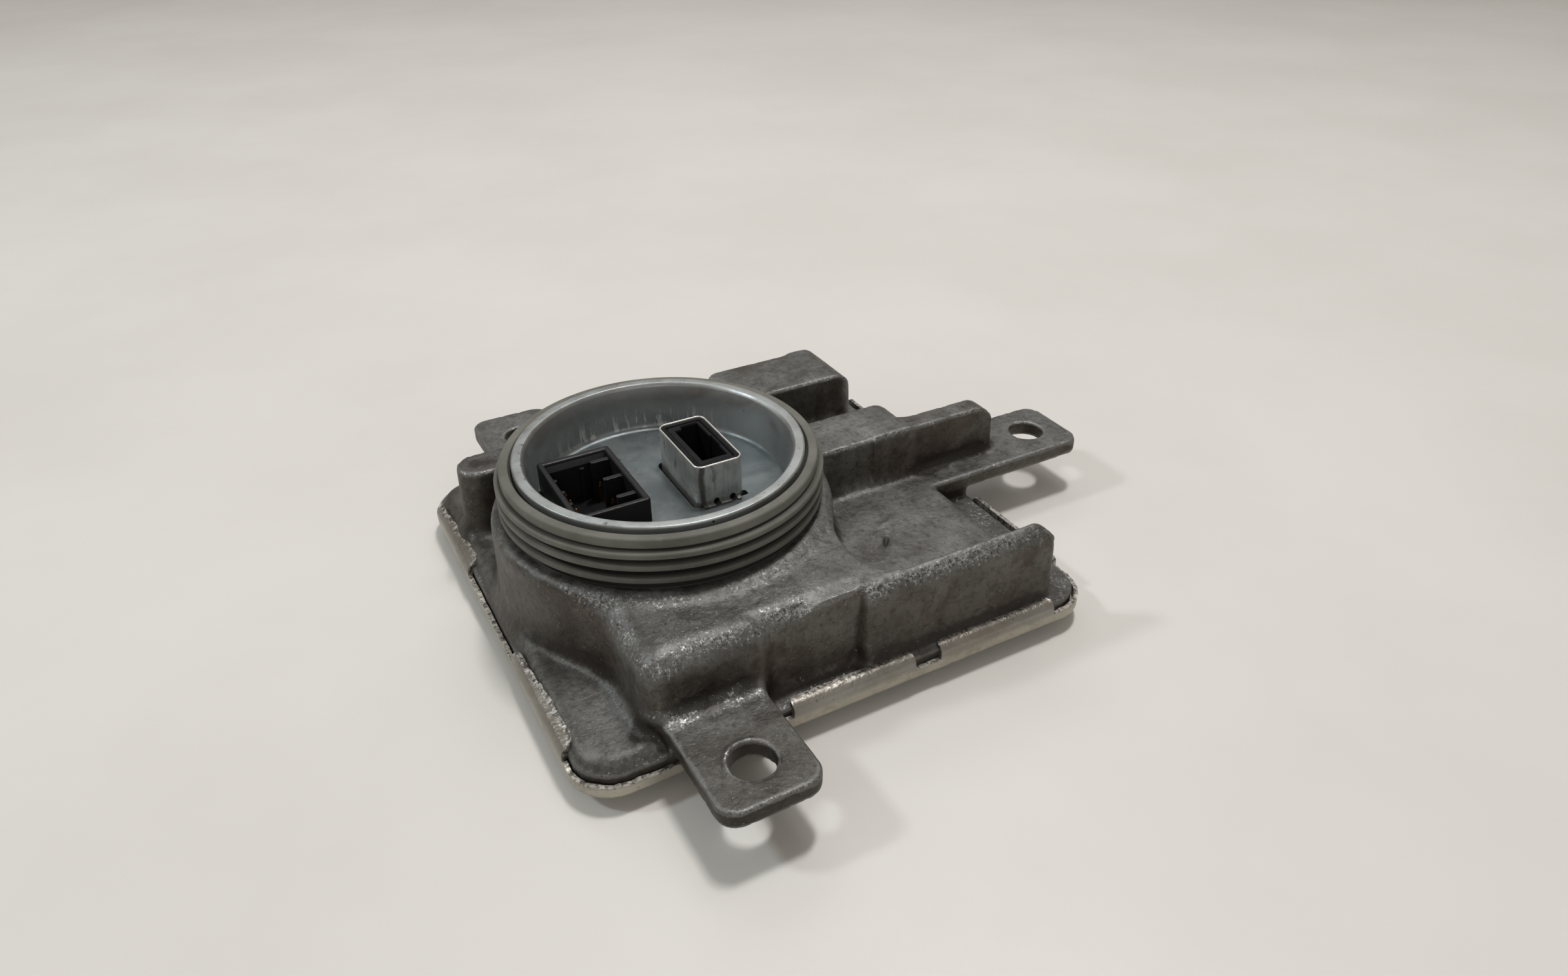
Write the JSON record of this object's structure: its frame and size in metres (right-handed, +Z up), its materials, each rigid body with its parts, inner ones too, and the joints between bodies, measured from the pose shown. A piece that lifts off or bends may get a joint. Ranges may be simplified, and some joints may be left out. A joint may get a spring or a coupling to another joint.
{
  "type": "lamp ballast module",
  "caption": "Die-cast electronics housing with a round sealed collar that holds a harness socket and a shielded output socket, mounting ears and a crimped sheet cover",
  "frame": {"origin": "On the connector collar's axis, on the plane that the cover's pressed pan rests on", "axes": "+Z runs up the collar, away from the cover; +X runs towards the long side of the housing and the right ear; +Y runs towards the rear ear"},
  "size_m": [0.1304, 0.1303, 0.0338],
  "materials": {
    "cast_aluminium": "bead-blasted die casting, stained and scuffed",
    "sheet_steel": "bright zinc-plated sheet, dull with handling",
    "sealant": "cured silicone bead",
    "seal_rubber": "matt grey-green moulded rubber",
    "black_plastic": "moulded, satin",
    "gasket_rubber": "soft foam rubber",
    "gold_contact": "gold-flashed",
    "tin_contact": "tinned",
    "shell_steel": "drawn stainless sheet",
    "grey_plastic": "glass-filled, dull",
    "spring_bronze": "rolled strip",
    "board": "solder-mask green",
    "screw_steel": "zinc-plated",
    "ferrite": "sintered, dull",
    "copper_wire": "enamelled",
    "can_sleeve": "shrink sleeve",
    "film_box": "epoxy dipped",
    "chip_epoxy": "moulded epoxy",
    "pad_silicone": "soft filled silicone",
    "ceramic": "fired, end-capped"
  },
  "bodies": {
    "root": {"housing": "cast_aluminium", "bottom_cover": "sheet_steel", "cover_sealant": "sealant", "collar_seal": "seal_rubber", "harness_socket": "black_plastic", "harness_gasket": "gasket_rubber", "harness_pins": "gold_contact", "output_shell": "shell_steel", "output_gasket": "gasket_rubber", "output_insert": "grey_plastic", "output_contacts": "tin_contact", "ground_spring": "spring_bronze", "circuit_board": "board", "board_screws": "screw_steel", "transformer_core": "ferrite", "transformer_bobbin": "black_plastic", "transformer_winding": "copper_wire", "transformer_pins": "tin_contact", "filter_core": "ferrite", "filter_winding": "copper_wire", "choke_rod": "ferrite", "choke_winding": "copper_wire", "bulk_capacitors": "can_sleeve", "capacitor_bungs": "gasket_rubber", "film_capacitors": "film_box", "power_transistors": "chip_epoxy", "transistor_tabs": "tin_contact", "thermal_pad": "pad_silicone", "control_chip": "chip_epoxy", "control_chip_leads": "tin_contact", "driver_chips": "chip_epoxy", "shunt_resistors": "chip_epoxy", "ceramic_capacitors": "ceramic", "rectifier_diodes": "chip_epoxy"}
  },
  "joints": []
}
